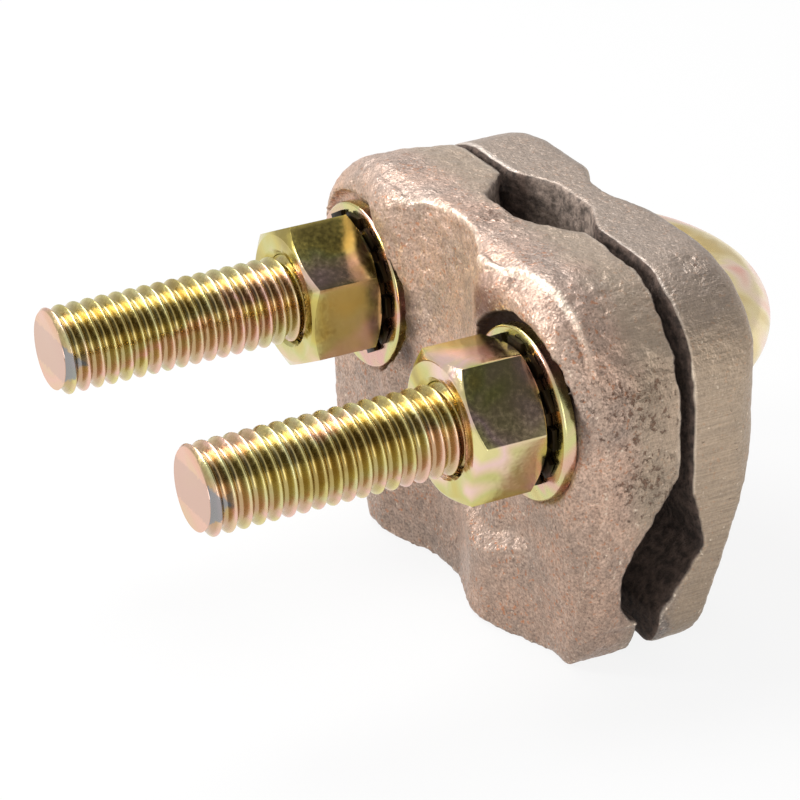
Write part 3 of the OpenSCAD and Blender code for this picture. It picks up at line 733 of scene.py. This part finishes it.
hexNut = {
    "flats": 14.3 * mm, "height": 8.2 * mm, "front": -9.4592 * mm, "face": 13.73 * mm, "chamfer": 30,
    "bore": 4.7 * mm, "countersink": 0.6 * mm, "edge": 0.16 * mm, "edgeSegments": 3, "edgeAbove": 18,
    "smoothBelow": 40, "blankSteps": 128, "drillSteps": 64, "blankPast": 0.5 * mm, "drillPast": 1 * mm,
    # name, body, CAD node, which leg it is on, how far it is turned
    "nuts": [("nutLeft", "left_nut", "hex_nut_left", -1, 33.7), ("nutRight", "right_nut", "hex_nut_right", 1, 52.5)],
}


def makeNut(name, body, node, side, turn, material, spec):
    corner = spec["flats"] / math.sqrt(3)
    wide = corner + spec["blankPast"]
    rise = (wide - spec["face"] / 2) * math.tan(math.radians(spec["chamfer"]))
    height = spec["height"]
    bpy.ops.object.select_all(action="DESELECT")
    bpy.ops.mesh.primitive_cylinder_add(vertices=6, radius=corner, depth=height, location=(0, 0, 0))
    nut = bpy.context.object
    nut.name = name
    # its corners stand as the CAD's do, and its axis lies along Y
    nut.data.transform(Matrix.Translation((0, height / 2, 0)) @ Matrix.Rotation(-math.pi / 2, 4, "X")
                       @ Matrix.Rotation(math.radians(turn + 30), 4, "Z"))
    blank = turned("blank", [(0, 0), (spec["face"] / 2, 0), (wide, rise), (wide, height - rise),
                             (spec["face"] / 2, height), (0, height)], spec["blankSteps"])
    cut(nut, blank, "INTERSECT")
    mouth = spec["bore"] + spec["countersink"]
    past = spec["drillPast"]
    drill = turned("drill", [(0, -past), (mouth + past, -past), (spec["bore"], spec["countersink"]),
                             (spec["bore"], height - spec["countersink"]), (mouth + past, height + past),
                             (0, height + past)], spec["drillSteps"])
    cut(nut, drill, "DIFFERENCE")
    applyModifier(nut, "BEVEL", {"width": spec["edge"], "segments": spec["edgeSegments"], "limit_method": "ANGLE",
                                 "angle_limit": math.radians(spec["edgeAbove"])})
    nut.data.transform(Matrix.Translation((side * legX, spec["front"], legZ)))
    outwards(nut)
    bpy.ops.object.shade_smooth_by_angle(angle=math.radians(spec["smoothBelow"]))
    handOver(nut, material, body, node)
    print(name, len(nut.data.polygons), "faces")


for (name, body, node, side, turn), material in zip(hexNut["nuts"], chromateNuts):
    makeNut(name, body, node, side, turn, material, hexNut)


# Washers: flat ones stamped with one rounded rim, lock washers with their sharp edges broken

washers = {
    "inner": 5.2 * mm, "outer": 9.05 * mm, "front": -0.55 * mm, "drop": 0.45 * mm, "thick": 1.4 * mm,
    "rim": 0.35 * mm, "burr": 0.15 * mm, "roundSteps": 128, "smoothBelow": 35,
    "toothEdge": 0.07 * mm, "toothSegments": 2, "toothAbove": 25, "flatWithin": 1.5,
}


def quarter(centre, radius, start):
    # points of a quarter circle every 15 degrees, from an angle in degrees
    return [(centre[0] + radius * math.cos(math.radians(start + 15 * i)),
             centre[1] + radius * math.sin(math.radians(start + 15 * i))) for i in range(7)]


def makeFlatWasher(name, node, side, spec):
    inner, outer, thick, rim, burr = (spec[k] for k in ("inner", "outer", "thick", "rim", "burr"))
    profile = ([(inner, thick - burr), (inner, rim / 2), (inner + rim / 2, 0)]
               + quarter((outer - rim, rim), rim, -90)
               + quarter((outer - burr, thick - burr), burr, 0)
               + [(inner + burr, thick), (inner, thick - burr)])
    obj = turned(name, profile, spec["roundSteps"])
    obj.data.transform(Matrix.Translation((side * legX, spec["front"], legZ - spec["drop"])))
    outwards(obj)
    bpy.ops.object.shade_smooth_by_angle(angle=math.radians(spec["smoothBelow"]))
    handOver(obj, chromate, "front_clamp", node)


def makeToothWasher(name, node, spec):
    obj = copyNode(node, name)
    bpy.ops.object.mode_set(mode="EDIT")
    bpy.ops.mesh.select_all(action="SELECT")
    bpy.ops.mesh.dissolve_limited(angle_limit=math.radians(spec["flatWithin"]))
    bpy.ops.object.mode_set(mode="OBJECT")
    applyModifier(obj, "BEVEL", {"width": spec["toothEdge"], "segments": spec["toothSegments"],
                                 "limit_method": "ANGLE", "angle_limit": math.radians(spec["toothAbove"])})
    bpy.ops.object.shade_smooth_by_angle(angle=math.radians(spec["smoothBelow"]))
    handOver(obj, chromateLockShade, "front_clamp", node)


for word, side in (("Left", -1), ("Right", 1)):
    makeFlatWasher("flatWasher" + word, "flat_washer_" + word.lower(), side, washers)
    makeToothWasher("toothWasher" + word, "tooth_washer_" + word.lower(), washers)
print("washers done")


# Floor, light and camera

studio = {
    "floorSize": 4.0, "floorZ": -0.05 * mm, "floorColour": "#dedede", "floorGlow": 0.87, "bright": 0.68, "dim": 0.08,
    # middle of the dim side of the room, and where it starts and ends
    "dimTowards": (0.42, 0.45, 0.79), "dimEdge": (0.8, 0.93),
    # name, place, size, power in watts
    "lamps": [("topSoftbox", (-0.16, -0.04, 0.3), 0.2, 0.85), ("frontFill", (-0.14, -0.33, 0.22), 0.1, 0.9),
              ("sideFill", (0.62, -0.1, 0.16), 0.4, 0.9)],
    "aim": (0, 0, 0.02),
}


def makeStudio(spec):
    bpy.ops.object.select_all(action="DESELECT")
    bpy.ops.mesh.primitive_plane_add(size=spec["floorSize"], location=(0, 0, spec["floorZ"]))
    floor = bpy.context.object
    floor.name = "floor"
    material, tree = newMaterial("matteWhitePaper")
    # the eye and mirrors see it near white, and what it throws on the object comes from the paper alone
    path = addNode(tree, "LightPath")
    seen = path.outputs["Is Camera Ray"]
    for ray in ("Is Glossy Ray", "Is Transmission Ray"):
        seen = addNode(tree, "Math", {"operation": "MAXIMUM"}, {0: seen, 1: path.outputs[ray]})
    amount = addNode(tree, "Math", {"operation": "MULTIPLY", 1: spec["floorGlow"]}, {0: seen})
    matte = addNode(tree, "BsdfDiffuse", {"Color": linearColour(spec["floorColour"])})
    glow = addNode(tree, "Emission", {"Color": (1, 1, 1, 1), "Strength": 1.0})
    mixed = addNode(tree, "MixShader", {}, {0: amount, 1: matte, 2: glow})
    addNode(tree, "OutputMaterial", {}, {"Surface": mixed})
    floor.data.materials.append(material)

    world = bpy.data.worlds.new("studioWorld")
    bpy.context.scene.world = world
    world.use_nodes = True
    tree = world.node_tree
    tree.nodes.clear()
    coords = addNode(tree, "TexCoord")
    towards = addNode(tree, "VectorMath", {"operation": "DOT_PRODUCT", 1: spec["dimTowards"]},
                      {0: coords.outputs["Generated"]})
    dimFrom, dimTo = spec["dimEdge"]
    shade = addNode(tree, "MapRange", {"interpolation_type": "SMOOTHSTEP", 1: dimFrom, 2: dimTo, 3: spec["bright"],
                                       4: spec["dim"]}, {0: towards})
    sky = addNode(tree, "Background", {"Color": (1, 1, 1, 1)}, {"Strength": shade})
    addNode(tree, "OutputWorld", {}, {"Surface": sky})

    for name, place, size, power in spec["lamps"]:
        lamp = bpy.data.lights.new(name, "AREA")
        lamp.size = size
        lamp.energy = power
        obj = bpy.data.objects.new(name, lamp)
        obj.location = place
        obj.rotation_euler = (Vector(spec["aim"]) - Vector(place)).to_track_quat("-Z", "Y").to_euler()
        bpy.context.scene.collection.objects.link(obj)


camera = {"azimuth": 62.755, "elevation": 26.541, "roll": -1.017, "distance": 361.628 * mm,
          "across": 3.471 * mm, "up": -4.128 * mm, "lens": 159.93, "sensor": 36, "nearest": 10 * mm,
          "aim": (0, -8.6 * mm, 26.5 * mm)}


def makeCamera(spec):
    azimuth, elevation, roll = (math.radians(spec[k]) for k in ("azimuth", "elevation", "roll"))
    back = Vector((math.sin(azimuth) * math.cos(elevation), -math.cos(azimuth) * math.cos(elevation),
                   math.sin(elevation)))
    right = Vector((math.cos(azimuth), math.sin(azimuth), 0))
    up = back.cross(right)
    right, up = (math.cos(roll) * right + math.sin(roll) * up, math.cos(roll) * up - math.sin(roll) * right)
    place = Vector(spec["aim"]) + back * spec["distance"] + right * spec["across"] + up * spec["up"]
    data = bpy.data.cameras.new("photoCamera")
    data.lens = spec["lens"]
    data.sensor_width = spec["sensor"]
    data.clip_start = spec["nearest"]
    obj = bpy.data.objects.new("photoCamera", data)
    bpy.context.scene.collection.objects.link(obj)
    obj.matrix_world = Matrix((
        (right.x, up.x, back.x, place.x),
        (right.y, up.y, back.y, place.y),
        (right.z, up.z, back.z, place.z),
        (0, 0, 0, 1),
    ))
    bpy.context.scene.camera = obj


makeStudio(studio)
makeCamera(camera)
bpy.context.scene.view_settings.view_transform = "Standard"
print("studio done")
